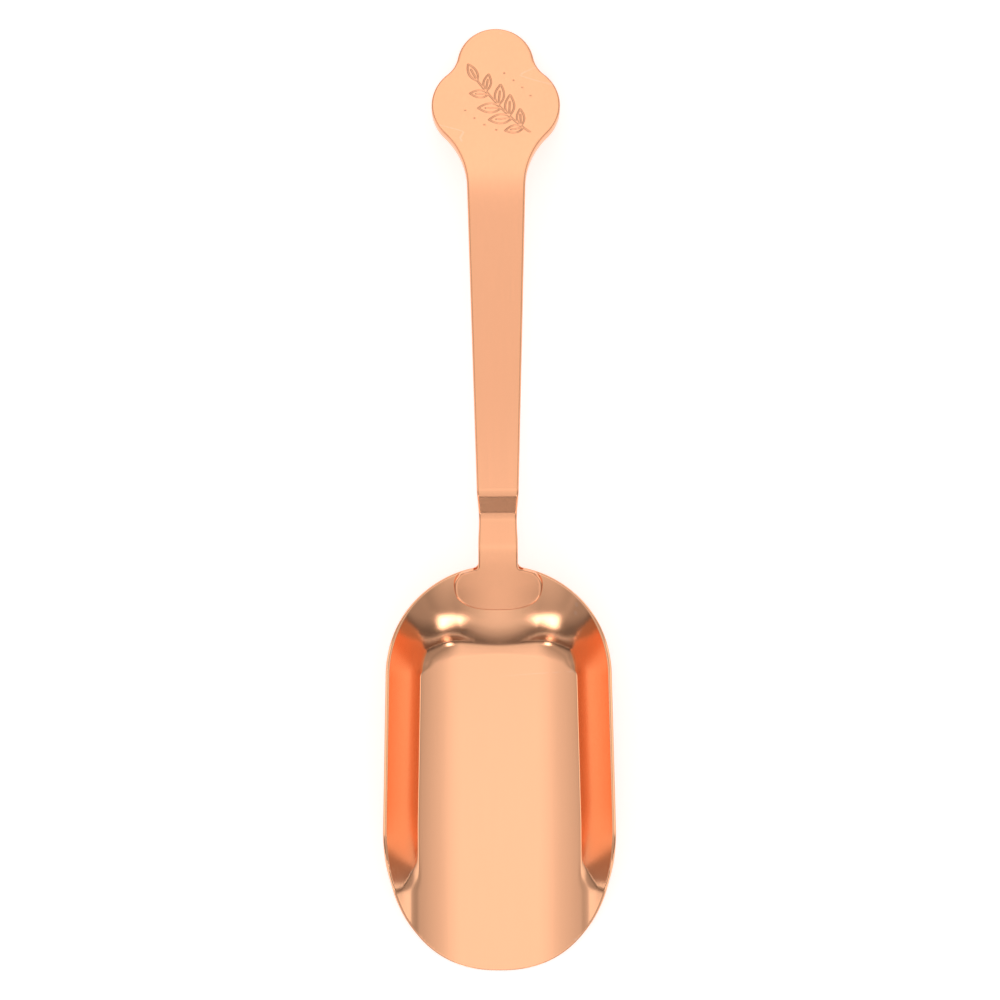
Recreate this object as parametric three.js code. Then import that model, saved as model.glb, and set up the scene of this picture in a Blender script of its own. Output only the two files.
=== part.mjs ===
// Bar spoon: a channel-shaped scoop pressed from thin sheet, with a stamped strip handle that laps onto
// the shoulder of its back wall and is brazed there. Rigid, with no moving parts.
// Millimetres. +Z up, +Y from the lip to the handle's end, +X to the right with the lip nearest.
// Origin: on the table, at the middle of the length and of the width.
import * as THREE from "three";
import { mergeVertices } from "three/addons/utils/BufferGeometryUtils.js";

// ---------- driving dimensions ----------
const LENGTH = 175;
const LIP_Y = -LENGTH / 2;
const TIP_Y = LENGTH / 2;
const PIECE_GAP = 0.3;
const radians = THREE.MathUtils.degToRad;

// Bowl: inside surface and sheet.
const BOWL_SHEET = 0.8;
const BOWL_DEPTH = 9.72;
const BACK_DEPTH = 8.6;
const RIM_BACK_Y = -12.05;
const BACK_ARC_Y = -32.8;
const WIDEST_Y = -60.2;
const BACK_HALF_WIDTH = 20.1;
const WIDEST_HALF_WIDTH = 20.7;
const BACK_ROUNDNESS = 2.1;
const LIP_ROUNDNESS = 2.35;
const FLOOR_INSET = 5.8;
const FLOOR_BACK_Y = -28.6;
const FLOOR_CORNER_ROUNDNESS = 1.9;
const FLAT_HALF_WIDTH = 6.5;
const TROUGH_SLOPE = Math.tan(radians(11));

// Bowl: walls. Angles named START or END are turns round the back, from its side to its middle.
const CREASE_RADIUS = 0.6;
const SIDE_CREASE = radians(55);
const SIDE_CREASE_END = radians(34);
const BACK_CREASE = radians(18);
const BACK_CREASE_START = radians(50);
const LIP_CREASE_FADE = 0.45;
const BACK_BEND_RADIUS = 5;
const LIP_BEND_RADIUS = 7;
const RIM_ANGLE_SIDE = radians(58);
const RIM_ANGLE_NECK = radians(14);
const RIM_ANGLE_LIP = radians(18);
const SHOULDER_START = radians(5);
const SHOULDER_END = radians(65);
const BACK_DEPTH_START = radians(50);
const STEEPEST_ANGLE = radians(80);

// Handle: plan outline of the upper face.
const TONGUE_END_Y = -20.4;
const TONGUE_BACK_Y = -13.4;
const TONGUE_BACK_HALF_WIDTH = 6.7;
const TONGUE_ROUNDNESS = 2.6;
const CORNER_START_Y = -12.8;
const TONGUE_MIDDLE_Y = -15.6;
const TONGUE_HALF_WIDTH = 8;
const NECK_HALF_WIDTH = 3.6;
const NECK_CORNER_RADIUS = 0.8;
const PINCH_HALF_WIDTH = 3.45;
const ARM_START_HALF_WIDTH = 3.8;
const ARM_END_HALF_WIDTH = 5.3;
const TOP_LOBE_RADIUS = 7.1;
const SIDE_LOBE_RADIUS = 7.65;
const SIDE_LOBE_X = 4.15;
const SIDE_LOBE_Y = 72.5;
const UPPER_FILLET_RADIUS = 5.5;
const LOWER_FILLET_RADIUS = 14.4;

// Handle: side profile of the upper face.
const HANDLE_SHEET = 2.2;
const NECK_SHEET = 1.8;
const TONGUE_TIP_SHEET = 0.6;
const NECK_LEVEL_Y = -8;
const TONGUE_TAPER_Y = -17;
const JOGGLE_FOOT_Y = -3.8;
const JOGGLE_ANGLE = radians(44);
const JOGGLE_LOWER_RADIUS = 2.4;
const JOGGLE_UPPER_RADIUS = 2.3;
const JOGGLE_STRAIGHT = 2.6;
const KNEE_START_Y = 50;
const KNEE_END_Y = 68;
const KNEE_SLOPE = 0.37;
const TIP_SLOPE = 0.395;

// Brazed fillets.
const BRAZE_LEG = 1.1;
const BRAZE_SIDE_DROP = 0.7;
const BRAZE_SIDE_HEIGHT = 1.7;
const BRAZE_UNDER_LEG = 0.9;
const BRAZE_UNDER_HALF_WIDTH = 3.4;
const BRAZE_ARC_STEPS = 5;

// Mesh steps.
const BACK_RIBS = 16;
const SIDE_RIBS = 3;
const LIP_RIBS = 12;
const FLOOR_COLUMNS = 5;
const CREASE_COLUMNS = 2;
const BEND_COLUMNS = 4;
const WALL_COLUMNS = 6;
const HANDLE_COLUMNS = 6;

// ---------- small helpers ----------
const smooth = (value, low, high) => THREE.MathUtils.smoothstep(value, low, high);
const lerp = THREE.MathUtils.lerp;

// Quarter of a superellipse: angle 0 is at the side, angle PI/2 at the end.
function superPoint(halfWidth, height, roundness, angle) {
  const power = 2 / roundness;
  return [halfWidth * Math.cos(angle) ** power, height * Math.sin(angle) ** power];
}

// ---------- bowl surface ----------
// Half width of the inside rim at a given Y, from the lip to the start of the back arc.
function rimHalfWidth(y) {
  if (y >= WIDEST_Y) {
    return lerp(WIDEST_HALF_WIDTH, BACK_HALF_WIDTH, (y - WIDEST_Y) / (BACK_ARC_Y - WIDEST_Y));
  }
  const reach = Math.min(1, (WIDEST_Y - y) / (WIDEST_Y - LIP_Y));
  return WIDEST_HALF_WIDTH * (1 - reach ** LIP_ROUNDNESS) ** (1 / LIP_ROUNDNESS);
}

// Half width of the floor, which runs straight on where the lip cuts the channel off.
function floorHalfWidth(y) {
  return rimHalfWidth(Math.max(y, WIDEST_Y)) - FLOOR_INSET;
}

// The floor is flat in the middle and curls up gently towards its two long edges.
function troughHeight(x, halfWidth) {
  const beyond = Math.max(0, Math.abs(x) - FLAT_HALF_WIDTH);
  return (TROUGH_SLOPE * beyond ** 2) / (2 * (halfWidth - FLAT_HALF_WIDTH));
}

function troughSlope(x, halfWidth) {
  const beyond = Math.max(0, Math.abs(x) - FLAT_HALF_WIDTH);
  return (TROUGH_SLOPE * beyond) / (halfWidth - FLAT_HALF_WIDTH);
}

// One wall section: a tight crease out of the floor, a bend, then one arc up to the rim.
// The bend stops at the angle that brings the rim to its height.
function wallSection({ span, footHeight, footAngle, creaseAngle, rimAngle, radius, rimHeight }) {
  const creaseEnd = CREASE_RADIUS * (Math.sin(creaseAngle) - Math.sin(footAngle));
  const creaseHeight = footHeight + CREASE_RADIUS * (Math.cos(footAngle) - Math.cos(creaseAngle));
  const shape = (angle) => {
    const bendEnd = creaseEnd + radius * (Math.sin(angle) - Math.sin(creaseAngle));
    const bendHeight = creaseHeight + radius * (Math.cos(creaseAngle) - Math.cos(angle));
    const rise = (span - bendEnd) * Math.tan((angle + rimAngle) / 2);
    return { angle, bendEnd, bendHeight, excess: bendHeight + rise - rimHeight };
  };
  let low = creaseAngle;
  let high = STEEPEST_ANGLE;
  for (let step = 0; step < 50; step += 1) {
    const middle = (low + high) / 2;
    if (shape(middle).excess > 0) high = middle;
    else low = middle;
  }
  const solved = shape((low + high) / 2);
  return { ...solved, span, footHeight, footAngle, creaseEnd, creaseHeight, creaseAngle, rimAngle, radius };
}

// Rise of an arc over a run, from the place where it stands at an angle.
function arcRise(run, startAngle, radius) {
  const sine = Math.sin(startAngle) + run / radius;
  return radius * (Math.cos(startAngle) - Math.sqrt(Math.max(0, 1 - sine ** 2)));
}

function wallHeight(section, distance) {
  const { angle, bendEnd, bendHeight, span, creaseEnd, creaseHeight, creaseAngle, rimAngle, radius } = section;
  if (distance <= creaseEnd) return section.footHeight + arcRise(distance, section.footAngle, CREASE_RADIUS);
  if (distance <= bendEnd) return creaseHeight + arcRise(distance - creaseEnd, creaseAngle, radius);
  const run = Math.min(distance, span) - bendEnd;
  const sine = lerp(Math.sin(angle), Math.sin(rimAngle), run / (span - bendEnd));
  const past = Math.max(0, distance - span) * Math.tan(rimAngle);
  return bendHeight + run * Math.tan((angle + Math.asin(sine)) / 2) + past;
}

// A rib of the back: the straight line in plan from the floor's edge to the rim. The crease runs out
// round the corner and comes back, weaker, at the middle of the back.
function backRib(turn) {
  const floorWidth = BACK_HALF_WIDTH - FLOOR_INSET;
  const [fx, fy] = superPoint(floorWidth, FLOOR_BACK_Y - BACK_ARC_Y, FLOOR_CORNER_ROUNDNESS, turn);
  const [rx, ry] = superPoint(BACK_HALF_WIDTH, RIM_BACK_Y - BACK_ARC_Y, BACK_ROUNDNESS, turn);
  const span = Math.hypot(rx - fx, ry - fy);
  const along = [(rx - fx) / span, (ry - fy) / span];
  const footAngle = Math.atan(troughSlope(fx, floorWidth) * along[0]);
  const sideCrease = (SIDE_CREASE - footAngle) * (1 - smooth(turn, 0, SIDE_CREASE_END));
  const section = wallSection({
    span,
    footHeight: troughHeight(fx, floorWidth),
    footAngle,
    creaseAngle: footAngle + sideCrease + BACK_CREASE * smooth(turn, BACK_CREASE_START, Math.PI / 2),
    rimAngle: lerp(RIM_ANGLE_SIDE, RIM_ANGLE_NECK, smooth(turn, SHOULDER_START, SHOULDER_END)),
    radius: BACK_BEND_RADIUS,
    rimHeight: lerp(BOWL_DEPTH, BACK_DEPTH, smooth(turn, 0, BACK_DEPTH_START)),
  });
  return { foot: [fx, fy + BACK_ARC_Y], along, floorWidth, section };
}

// A rib across the channel. Towards the lip the wall leans out, and its crease opens into the bend.
function sideRib(y) {
  const floorWidth = floorHalfWidth(y);
  const footHeight = troughHeight(floorWidth, floorWidth);
  const footAngle = Math.atan(TROUGH_SLOPE);
  const opening = smooth(WIDEST_Y - y, 0, WIDEST_Y - LIP_Y);
  const angle = lerp(RIM_ANGLE_SIDE, RIM_ANGLE_LIP, opening);
  const creaseAngle = lerp(SIDE_CREASE, footAngle, smooth(opening, 0, LIP_CREASE_FADE));
  const creaseRun = CREASE_RADIUS * (Math.sin(creaseAngle) - Math.sin(footAngle));
  const creaseRise = CREASE_RADIUS * (Math.cos(footAngle) - Math.cos(creaseAngle));
  const bendRun = LIP_BEND_RADIUS * (Math.sin(angle) - Math.sin(creaseAngle));
  const bendRise = LIP_BEND_RADIUS * (Math.cos(creaseAngle) - Math.cos(angle));
  const straightRise = (FLOOR_INSET - creaseRun - bendRun) * Math.tan(angle);
  const section = wallSection({
    span: FLOOR_INSET,
    footHeight,
    footAngle,
    creaseAngle,
    rimAngle: angle,
    radius: LIP_BEND_RADIUS,
    rimHeight: opening > 0 ? footHeight + creaseRise + bendRise + straightRise : BOWL_DEPTH,
  });
  return { foot: [floorWidth, y], along: [1, 0], floorWidth, section };
}

// The rib of the back that passes through a point, found by halving the turn.
function ribThrough(x, y) {
  let low = 0;
  let high = Math.PI / 2;
  for (let step = 0; step < 40; step += 1) {
    const middle = (low + high) / 2;
    const { foot, along } = backRib(middle);
    const side = along[0] * (y - foot[1]) - along[1] * (x - foot[0]);
    if (side > 0) low = middle;
    else high = middle;
  }
  return backRib((low + high) / 2);
}

// Height of the bowl's inside surface above its own floor, and past the rim along the rim's slope.
function bowlHeight(x, y) {
  const side = Math.abs(x);
  const rib = y <= BACK_ARC_Y ? sideRib(y) : ribThrough(side, y);
  const distance = (side - rib.foot[0]) * rib.along[0] + (y - rib.foot[1]) * rib.along[1];
  if (distance <= 0) return troughHeight(side, rib.floorWidth);
  return wallHeight(rib.section, distance);
}

const insideZ = (x, y) => BOWL_SHEET + bowlHeight(x, y);

// ---------- solid from two matching sheets of points ----------
// upper and lower are grids [row][column], with rows running towards +Y and columns towards +X.
// A wall joins their outer edges. Where the last row folds back on itself, as at the middle of the
// bowl's back, its two halves meet and it needs no wall.
function sheetSolid(upper, lower, lastRowFolds) {
  const rows = upper.length;
  const columns = upper[0].length;
  const shift = rows * columns;
  const at = (row, column) => row * columns + column;
  const index = [];
  const quad = (a, b, c, d) => index.push(a, b, c, a, c, d);
  for (let row = 0; row < rows - 1; row += 1) {
    for (let column = 0; column < columns - 1; column += 1) {
      const corners = [at(row, column), at(row, column + 1), at(row + 1, column + 1), at(row + 1, column)];
      quad(...corners);
      quad(...corners.map((corner) => corner + shift).reverse());
    }
  }
  const wall = (here, next) => quad(next, here, here + shift, next + shift);
  for (let column = 0; column < columns - 1; column += 1) {
    wall(at(0, column), at(0, column + 1));
    if (!lastRowFolds) wall(at(rows - 1, column + 1), at(rows - 1, column));
  }
  for (let row = 0; row < rows - 1; row += 1) {
    wall(at(row, columns - 1), at(row + 1, columns - 1));
    wall(at(row + 1, 0), at(row, 0));
  }
  const geometry = new THREE.BufferGeometry();
  const positions = [...upper.flat(), ...lower.flat()].flat();
  geometry.setAttribute("position", new THREE.Float32BufferAttribute(positions, 3));
  geometry.setIndex(index);
  return withoutEmptyTriangles(mergeVertices(geometry, 1e-3));
}

// Where a row shrinks to a point, its quads lose a side: the triangles left with no area are dropped.
function withoutEmptyTriangles(geometry) {
  const kept = [];
  const index = geometry.index.array;
  for (let place = 0; place < index.length; place += 3) {
    const [a, b, c] = index.slice(place, place + 3);
    if (a !== b && b !== c && c !== a) kept.push(a, b, c);
  }
  geometry.setIndex(kept);
  return geometry;
}

// ---------- bowl ----------
// Points along a rib from the middle of the floor to the rim: evenly over the floor, round the crease,
// round the bend and up the wall. Where the lip cuts the channel off they draw together.
function ribPoints(rib, spine, reach) {
  const across = [rib.foot[0] - spine[0], rib.foot[1] - spine[1]];
  const floor = Math.hypot(...across);
  const { creaseEnd, bendEnd, span } = rib.section;
  const ends = [0, floor, floor + creaseEnd, floor + bendEnd, floor + span];
  const counts = [FLOOR_COLUMNS, CREASE_COLUMNS, BEND_COLUMNS, WALL_COLUMNS];
  const places = [0];
  counts.forEach((count, part) => {
    for (let step = 1; step <= count; step += 1) places.push(lerp(ends[part], ends[part + 1], step / count));
  });
  return places.map((place) => {
    const here = (place * reach) / (floor + span);
    const onFloor = Math.min(here, floor) / floor;
    const beyond = Math.max(0, here - floor);
    return [
      spine[0] + across[0] * onFloor + rib.along[0] * beyond,
      spine[1] + across[1] * onFloor + rib.along[1] * beyond,
    ];
  });
}

// Plan points of the bowl's right half: one row for each rib, from the lip round to the back.
function bowlPlan() {
  const rows = [];
  for (let step = 1; step <= LIP_RIBS + SIDE_RIBS; step += 1) {
    const beyond = Math.max(0, step - LIP_RIBS) / SIDE_RIBS;
    const turn = (Math.PI / 2) * Math.max(0, 1 - step / LIP_RIBS);
    const y = lerp(lerp(WIDEST_Y, LIP_Y, Math.sin(turn)), BACK_ARC_Y, beyond);
    rows.push(ribPoints(sideRib(y), [0, y], rimHalfWidth(y)));
  }
  for (let step = 1; step <= BACK_RIBS; step += 1) {
    const rib = backRib((Math.PI / 2) * (step / BACK_RIBS));
    const floor = Math.hypot(rib.foot[0], rib.foot[1] - BACK_ARC_Y);
    rows.push(ribPoints(rib, [0, BACK_ARC_Y], floor + rib.section.span));
  }
  const lip = rows[0].map(() => [0, LIP_Y]);
  return [lip, ...rows];
}

// The sheet's outside lies one thickness away, square to the inside surface.
function outsidePoint(x, y) {
  const step = 0.02;
  const slopeX = x < step ? 0 : (bowlHeight(x + step, y) - bowlHeight(x - step, y)) / (2 * step);
  const slopeY = (bowlHeight(x, y + step) - bowlHeight(x, y - step)) / (2 * step);
  const size = Math.hypot(slopeX, slopeY, 1);
  return [
    x + (BOWL_SHEET * slopeX) / size,
    y + (BOWL_SHEET * slopeY) / size,
    insideZ(x, y) - BOWL_SHEET / size,
  ];
}

function bowlGeometry() {
  const whole = (half) => half.map((row) => {
    const left = row.slice(1).reverse().map(([x, y, z]) => [-x, y, z]);
    return [...left, ...row];
  });
  const plan = bowlPlan();
  const upper = plan.map((row) => row.map(([x, y]) => [x, y, insideZ(x, y)]));
  const lower = plan.map((row) => row.map(([x, y]) => outsidePoint(x, y)));
  return sheetSolid(whole(upper), whole(lower), true);
}

// ---------- handle outline ----------
// Centre of the circle that touches two others from outside, on the side away from the axis.
function filletCentre([ax, ay], reachA, [bx, by], reachB) {
  const gap = Math.hypot(bx - ax, by - ay);
  const along = (gap ** 2 + reachA ** 2 - reachB ** 2) / (2 * gap);
  const across = Math.sqrt(reachA ** 2 - along ** 2);
  const [ux, uy] = [(bx - ax) / gap, (by - ay) / gap];
  return [ax + ux * along - uy * across, ay + uy * along + ux * across];
}

// Y of the point where a circle touches its neighbour.
const touchY = (centre, radius, other, otherRadius) =>
  centre[1] + ((other[1] - centre[1]) * radius) / (radius + otherRadius);

const TOP_LOBE = [0, TIP_Y - TOP_LOBE_RADIUS];
const SIDE_LOBE = [SIDE_LOBE_X, SIDE_LOBE_Y];
const UPPER_FILLET = filletCentre(
  TOP_LOBE,
  TOP_LOBE_RADIUS + UPPER_FILLET_RADIUS,
  SIDE_LOBE,
  SIDE_LOBE_RADIUS + UPPER_FILLET_RADIUS,
);
const LOWER_FILLET_X = ARM_END_HALF_WIDTH + LOWER_FILLET_RADIUS;
const LOWER_FILLET_DROP = Math.sqrt(
  (SIDE_LOBE_RADIUS + LOWER_FILLET_RADIUS) ** 2 - (LOWER_FILLET_X - SIDE_LOBE_X) ** 2,
);
const LOWER_FILLET = [LOWER_FILLET_X, SIDE_LOBE_Y - LOWER_FILLET_DROP];
const ARM_END_Y = LOWER_FILLET[1];
const LOWER_TOUCH_Y = touchY(SIDE_LOBE, SIDE_LOBE_RADIUS, LOWER_FILLET, LOWER_FILLET_RADIUS);
const UPPER_TOUCH_Y = touchY(SIDE_LOBE, SIDE_LOBE_RADIUS, UPPER_FILLET, UPPER_FILLET_RADIUS);
const TOP_TOUCH_Y = touchY(TOP_LOBE, TOP_LOBE_RADIUS, UPPER_FILLET, UPPER_FILLET_RADIUS);

// Half width of a circle at Y: bulge is 1 on its far side and -1 on its near side.
function circleX([cx, cy], radius, y, bulge) {
  return cx + bulge * Math.sqrt(Math.max(0, radius ** 2 - (y - cy) ** 2));
}

function finialHalfWidth(y) {
  if (y < LOWER_TOUCH_Y) return circleX(LOWER_FILLET, LOWER_FILLET_RADIUS, y, -1);
  if (y < UPPER_TOUCH_Y) return circleX(SIDE_LOBE, SIDE_LOBE_RADIUS, y, 1);
  if (y < TOP_TOUCH_Y) return circleX(UPPER_FILLET, UPPER_FILLET_RADIUS, y, -1);
  return circleX(TOP_LOBE, TOP_LOBE_RADIUS, y, 1);
}

// The tongue is a rounded pad whose back edge runs along the rim to a small corner at the neck.
function tongueHalfWidth(y) {
  if (y < TONGUE_MIDDLE_Y) {
    const reach = (TONGUE_MIDDLE_Y - y) / (TONGUE_MIDDLE_Y - TONGUE_END_Y);
    return TONGUE_HALF_WIDTH * (1 - reach ** TONGUE_ROUNDNESS) ** (1 / TONGUE_ROUNDNESS);
  }
  if (y < TONGUE_BACK_Y) {
    const reach = (y - TONGUE_MIDDLE_Y) / (TONGUE_BACK_Y - TONGUE_MIDDLE_Y);
    return lerp(TONGUE_HALF_WIDTH, TONGUE_BACK_HALF_WIDTH, reach ** 2);
  }
  const cornerHalfWidth = NECK_HALF_WIDTH + NECK_CORNER_RADIUS;
  if (y < CORNER_START_Y) {
    const reach = (y - TONGUE_BACK_Y) / (CORNER_START_Y - TONGUE_BACK_Y);
    return lerp(TONGUE_BACK_HALF_WIDTH, cornerHalfWidth, reach);
  }
  const corner = [cornerHalfWidth, CORNER_START_Y + NECK_CORNER_RADIUS];
  return circleX(corner, NECK_CORNER_RADIUS, y, -1);
}

function handleHalfWidth(y) {
  if (y < CORNER_START_Y + NECK_CORNER_RADIUS) return tongueHalfWidth(y);
  if (y < JOGGLE_FOOT_Y) {
    return lerp(NECK_HALF_WIDTH, PINCH_HALF_WIDTH, smooth(y, NECK_LEVEL_Y, JOGGLE_FOOT_Y));
  }
  if (y < JOGGLE_TOP_Y) {
    return lerp(PINCH_HALF_WIDTH, ARM_START_HALF_WIDTH, smooth(y, JOGGLE_FOOT_Y, JOGGLE_TOP_Y));
  }
  if (y < ARM_END_Y) {
    const reach = (y - JOGGLE_TOP_Y) / (ARM_END_Y - JOGGLE_TOP_Y);
    return lerp(ARM_START_HALF_WIDTH, ARM_END_HALF_WIDTH, reach);
  }
  return finialHalfWidth(y);
}

// ---------- handle side profile ----------
const JOGGLE_LOWER_END_Y = JOGGLE_FOOT_Y + JOGGLE_LOWER_RADIUS * Math.sin(JOGGLE_ANGLE);
const JOGGLE_UPPER_START_Y = JOGGLE_LOWER_END_Y + JOGGLE_STRAIGHT;
const JOGGLE_TOP_Y = JOGGLE_UPPER_START_Y + JOGGLE_UPPER_RADIUS * Math.sin(JOGGLE_ANGLE);
const JOGGLE_RISE =
  (JOGGLE_LOWER_RADIUS + JOGGLE_UPPER_RADIUS) * (1 - Math.cos(JOGGLE_ANGLE)) +
  JOGGLE_STRAIGHT * Math.tan(JOGGLE_ANGLE);
const NECK_RUN = NECK_LEVEL_Y - RIM_BACK_Y;
const SEAT_Z = BOWL_SHEET + BACK_DEPTH + PIECE_GAP;
const NECK_UNDER_Z = SEAT_Z + (NECK_RUN * Math.tan(RIM_ANGLE_NECK)) / 2;
const NECK_TOP_Z = NECK_UNDER_Z + NECK_SHEET;
const ARM_TOP_Z = NECK_TOP_Z + JOGGLE_RISE;
const TIP_TOP_Z = HANDLE_SHEET * Math.cos(Math.atan(TIP_SLOPE));

// The arm's slope at the knee is the one that brings the tip's underside down to the table.
const ARM_SLOPE =
  (ARM_TOP_Z - TIP_TOP_Z - (KNEE_SLOPE * (TIP_Y - KNEE_START_Y)) / 2 - (TIP_SLOPE * (TIP_Y - KNEE_END_Y)) / 2) /
  ((KNEE_END_Y - JOGGLE_TOP_Y) / 2);

// Areas under a rise from 0 to 1 between two places: straight, and smooth at both ends.
function rampArea(y, start, end) {
  const reach = THREE.MathUtils.clamp(y - start, 0, end - start);
  return reach ** 2 / (2 * (end - start)) + Math.max(0, y - end);
}

function smoothArea(y, start, end) {
  const reach = THREE.MathUtils.clamp((y - start) / (end - start), 0, 1);
  return (reach ** 3 - reach ** 4 / 2) * (end - start) + Math.max(0, y - end);
}

function armTopZ(y) {
  return (
    ARM_TOP_Z -
    ARM_SLOPE * rampArea(y, JOGGLE_TOP_Y, KNEE_START_Y) -
    (KNEE_SLOPE - ARM_SLOPE) * smoothArea(y, KNEE_START_Y, KNEE_END_Y) -
    (TIP_SLOPE - KNEE_SLOPE) * rampArea(y, KNEE_END_Y, TIP_Y)
  );
}

// Height of the upper face from the level part of the neck to the tip.
function handleTopZ(y) {
  if (y < JOGGLE_FOOT_Y) return NECK_TOP_Z;
  if (y < JOGGLE_LOWER_END_Y) {
    return NECK_TOP_Z + JOGGLE_LOWER_RADIUS - Math.sqrt(JOGGLE_LOWER_RADIUS ** 2 - (y - JOGGLE_FOOT_Y) ** 2);
  }
  if (y < JOGGLE_UPPER_START_Y) {
    const bendRise = JOGGLE_LOWER_RADIUS * (1 - Math.cos(JOGGLE_ANGLE));
    return NECK_TOP_Z + bendRise + (y - JOGGLE_LOWER_END_Y) * Math.tan(JOGGLE_ANGLE);
  }
  if (y < JOGGLE_TOP_Y) {
    return ARM_TOP_Z - JOGGLE_UPPER_RADIUS + Math.sqrt(JOGGLE_UPPER_RADIUS ** 2 - (JOGGLE_TOP_Y - y) ** 2);
  }
  return armTopZ(y);
}

// Underside of the tongue and of the sloping start of the neck: it follows the bowl, then levels out.
function seatZ(x, y) {
  const run = Math.min(y - RIM_BACK_Y, NECK_RUN);
  const neck = SEAT_Z + Math.tan(RIM_ANGLE_NECK) * (run - Math.max(0, run) ** 2 / (2 * NECK_RUN));
  return lerp(insideZ(x, y) + PIECE_GAP, neck, smooth(y, RIM_BACK_Y, NECK_LEVEL_Y - NECK_RUN / 2));
}

function handleSheet(y) {
  if (y < NECK_LEVEL_Y) return lerp(TONGUE_TIP_SHEET, NECK_SHEET, smooth(y, TONGUE_TAPER_Y, NECK_LEVEL_Y));
  return lerp(NECK_SHEET, HANDLE_SHEET, smooth(y, JOGGLE_FOOT_Y, JOGGLE_TOP_Y));
}

// ---------- handle ----------
// Places along the handle, close together in the corner, the bends and the round ends.
function handleStations() {
  const stretches = [
    [TONGUE_END_Y, TONGUE_MIDDLE_Y, 6, true, false],
    [TONGUE_MIDDLE_Y, TONGUE_BACK_Y, 3, false, false],
    [TONGUE_BACK_Y, CORNER_START_Y, 2, false, false],
    [CORNER_START_Y, CORNER_START_Y + NECK_CORNER_RADIUS, 4, false, false],
    [CORNER_START_Y + NECK_CORNER_RADIUS, NECK_LEVEL_Y, 3, false, false],
    [NECK_LEVEL_Y, JOGGLE_FOOT_Y, 2, false, false],
    [JOGGLE_FOOT_Y, JOGGLE_LOWER_END_Y, 6, false, false],
    [JOGGLE_LOWER_END_Y, JOGGLE_UPPER_START_Y, 1, false, false],
    [JOGGLE_UPPER_START_Y, JOGGLE_TOP_Y, 6, false, false],
    [JOGGLE_TOP_Y, ARM_END_Y, 12, false, false],
    [ARM_END_Y, SIDE_LOBE_Y, 10, false, false],
    [SIDE_LOBE_Y, TOP_TOUCH_Y, 7, false, false],
    [TOP_TOUCH_Y, TIP_Y, 8, false, true],
  ];
  const stations = [TONGUE_END_Y];
  stretches.forEach(([start, end, count, roundStart, roundEnd]) => {
    for (let step = 1; step <= count; step += 1) {
      let share = step / count;
      if (roundStart) share = 1 - Math.cos((share * Math.PI) / 2);
      if (roundEnd) share = Math.sin((share * Math.PI) / 2);
      stations.push(lerp(start, end, share));
    }
  });
  return stations;
}

// The upper and lower points of the strip at one place.
function stripPoints(x, y) {
  const sheet = handleSheet(y);
  const step = 0.01;
  if (y < NECK_LEVEL_Y) {
    const under = seatZ(x, y);
    const slope = (seatZ(x, y + step) - seatZ(x, y - step)) / (2 * step);
    return [[x, y, under + sheet * Math.hypot(1, slope)], [x, y, under]];
  }
  const top = handleTopZ(y);
  const slope = (handleTopZ(y + step) - handleTopZ(y - step)) / (2 * step);
  const size = Math.hypot(1, slope);
  return [[x, y, top], [x, y + (sheet * slope) / size, top - sheet / size]];
}

function handleGeometry() {
  const grid = handleStations().map((y) => {
    const row = [];
    for (let column = 0; column <= HANDLE_COLUMNS; column += 1) {
      row.push(stripPoints(handleHalfWidth(y) * ((2 * column) / HANDLE_COLUMNS - 1), y));
    }
    return row;
  });
  const layer = (which) => grid.map((row) => row.map((points) => points[which]));
  return sheetSolid(layer(0), layer(1), false);
}

// ---------- brazed fillets ----------
// A corner bead with a hollow face: legs along +X and +Y from the corner, run along +Z.
function beadGeometry(legX, legY, run) {
  const shape = new THREE.Shape();
  shape.moveTo(0, 0);
  shape.lineTo(legX, 0);
  shape.absellipse(legX, legY, legX, legY, -Math.PI / 2, -Math.PI, true);
  shape.closePath();
  return new THREE.ExtrudeGeometry(shape, { depth: run, bevelEnabled: false, curveSegments: BRAZE_ARC_STEPS });
}

const BRAZE_Y = outsidePoint(NECK_HALF_WIDTH, RIM_BACK_Y)[1] + PIECE_GAP;

function sideBead(name, side) {
  const bead = brazeMesh(name, beadGeometry(BRAZE_LEG, BRAZE_LEG, BRAZE_SIDE_HEIGHT));
  bead.position.set(side * (NECK_HALF_WIDTH + PIECE_GAP), BRAZE_Y, SEAT_Z - BRAZE_SIDE_DROP);
  if (side < 0) bead.rotation.z = Math.PI / 2;
  return bead;
}

// Under the neck the legs run backwards along the neck and down the edge of the bowl's sheet.
function underBead() {
  const geometry = beadGeometry(BRAZE_LEG, BRAZE_UNDER_LEG, 2 * BRAZE_UNDER_HALF_WIDTH);
  const backwards = new THREE.Vector3(0, 1, 0);
  const down = new THREE.Vector3(0, 0, -1);
  const leftwards = new THREE.Vector3(-1, 0, 0);
  geometry.applyMatrix4(new THREE.Matrix4().makeBasis(backwards, down, leftwards));
  const bead = brazeMesh("braze_under", geometry);
  bead.position.set(BRAZE_UNDER_HALF_WIDTH, BRAZE_Y, seatZ(0, BRAZE_Y) - PIECE_GAP);
  return bead;
}

// ---------- meshes ----------
function metalMesh(name, geometry, color, roughness) {
  const material = new THREE.MeshStandardMaterial({ color, roughness, metalness: 1 });
  const mesh = new THREE.Mesh(geometry, material);
  mesh.name = name;
  return mesh;
}

function brazeMesh(name, geometry) {
  return metalMesh(name, geometry, 0xe8b083, 0.35);
}

const spoon = new THREE.Group();
spoon.add(metalMesh("bowl", bowlGeometry(), 0xf5bd92, 0.15));
spoon.add(metalMesh("handle", handleGeometry(), 0xf2b88c, 0.22));
spoon.add(sideBead("braze_left", -1));
spoon.add(sideBead("braze_right", 1));
spoon.add(underBead());

export default spoon;
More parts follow.
